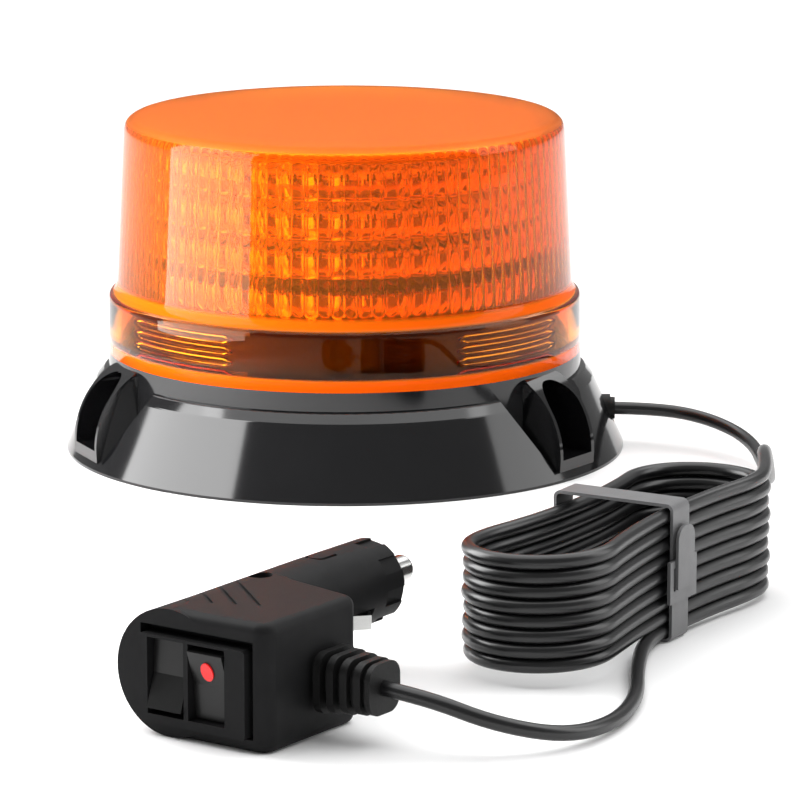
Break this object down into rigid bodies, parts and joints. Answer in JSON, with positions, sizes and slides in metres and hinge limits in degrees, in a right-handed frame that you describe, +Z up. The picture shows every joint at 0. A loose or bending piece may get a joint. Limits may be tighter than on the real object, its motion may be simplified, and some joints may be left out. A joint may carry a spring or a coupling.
{
  "type": "led warning beacon",
  "caption": "Amber LED warning beacon on a round black three-bolt base, with a bundled black lead and a right-angled 12 V accessory plug that carries rocker switches.",
  "frame": {"origin": "centre of the beacon's round mounting face, on the surface it stands on", "axes": "+Z up along the beacon's axis, +Y away from the bundled lead, +X to the right, on the side the lead leaves"},
  "size_m": [0.2075, 0.4206, 0.1],
  "materials": {
    "lens": "clear amber moulded plastic, polished",
    "black_gloss": "black moulded plastic, semi-gloss",
    "black_matte": "black moulded plastic, fine satin",
    "black_inner": "black moulded plastic",
    "rubber": "black rubber",
    "zinc_screw": "zinc-plated steel",
    "reflector": "vacuum-metallised plastic, bright",
    "board": "white solder mask",
    "board_green": "green solder mask",
    "led": "yellow phosphor package",
    "aluminium": "extruded, plain",
    "can": "sleeved aluminium can",
    "ferrite": "ferrite and varnished wire",
    "chip": "moulded package",
    "terminal": "green moulded terminal block",
    "cord": "black PVC jacket, glossy",
    "strap": "grey flat band, satin",
    "rocker": "black moulded plastic",
    "red_window": "red translucent window",
    "nickel": "nickel plate",
    "spring": "spring steel wire",
    "fuse": "glass tube"
  },
  "bodies": {
    "beacon": {"base_housing": "black_gloss", "base_plate": "black_matte", "base_gasket": "rubber", "base_plate_screws": "zinc_screw", "lens_cover": "lens", "lens_seal": "rubber", "optic_pedestal": "black_inner", "led_reflector": "reflector", "led_board": "board", "led_chips": "led", "tower_core": "aluminium", "tower_cap": "board", "tower_screws": "zinc_screw", "driver_board": "board_green", "driver_capacitors": "can", "driver_inductor": "ferrite", "driver_chips": "chip", "terminal_block": "terminal", "cable_grommet": "rubber", "cord_lead": "cord", "cord_tail": "cord", "cord_hank": "cord", "internal_lead": "cord", "hank_strap": "strap", "strap_buckle": "strap", "plug_body": "black_matte", "plug_lid": "black_matte", "plug_screw": "zinc_screw", "switch_bezel": "black_matte", "rocker_pins": "zinc_screw", "switch_bodies": "black_matte", "glass_fuse": "fuse", "strain_relief": "rubber"},
    "left_rocker": {"rocker_left": "rocker"},
    "right_rocker": {"rocker_right": "rocker", "indicator_lens": "red_window"},
    "nose_cap_body": {"nose_cap": "black_matte", "contact_spring": "spring"},
    "tip_contact": {"centre_contact": "nickel"},
    "side_leaf_left": {"side_contact_left": "nickel"},
    "side_leaf_right": {"side_contact_right": "nickel"}
  },
  "joints": [
    {"name": "left_rocker_tilt", "type": "hinge", "parent": "beacon", "child": "left_rocker", "pos_m": [-0.03981, -0.31402, 0.0146], "axis": [-0.809, 0.5878, 0], "range_deg": [-22, 0]},
    {"name": "right_rocker_tilt", "type": "hinge", "parent": "beacon", "child": "right_rocker", "pos_m": [-0.0301, -0.32107, 0.0146], "axis": [-0.809, 0.5878, 0], "range_deg": [0, 22]},
    {"name": "nose_cap_off", "type": "slide", "parent": "beacon", "child": "nose_cap_body", "axis": [0.5878, 0.809, 0], "range_m": [0, 0.04]},
    {"name": "tip_contact_press", "type": "slide", "parent": "nose_cap_body", "child": "tip_contact", "axis": [-0.5878, -0.809, 0], "range_m": [0, 0.004], "stiffness_N_per_m": 300, "springref_m": -0.001, "deforming": ["contact_spring"]},
    {"name": "side_leaf_left_press", "type": "slide", "parent": "beacon", "child": "side_leaf_left", "axis": [0.809, -0.5878, 0], "range_m": [0, 0.0015], "stiffness_N_per_m": 80, "springref_m": -0.0005},
    {"name": "side_leaf_right_press", "type": "slide", "parent": "beacon", "child": "side_leaf_right", "axis": [-0.809, 0.5878, 0], "range_m": [0, 0.0015], "stiffness_N_per_m": 80, "springref_m": -0.0005}
  ]
}
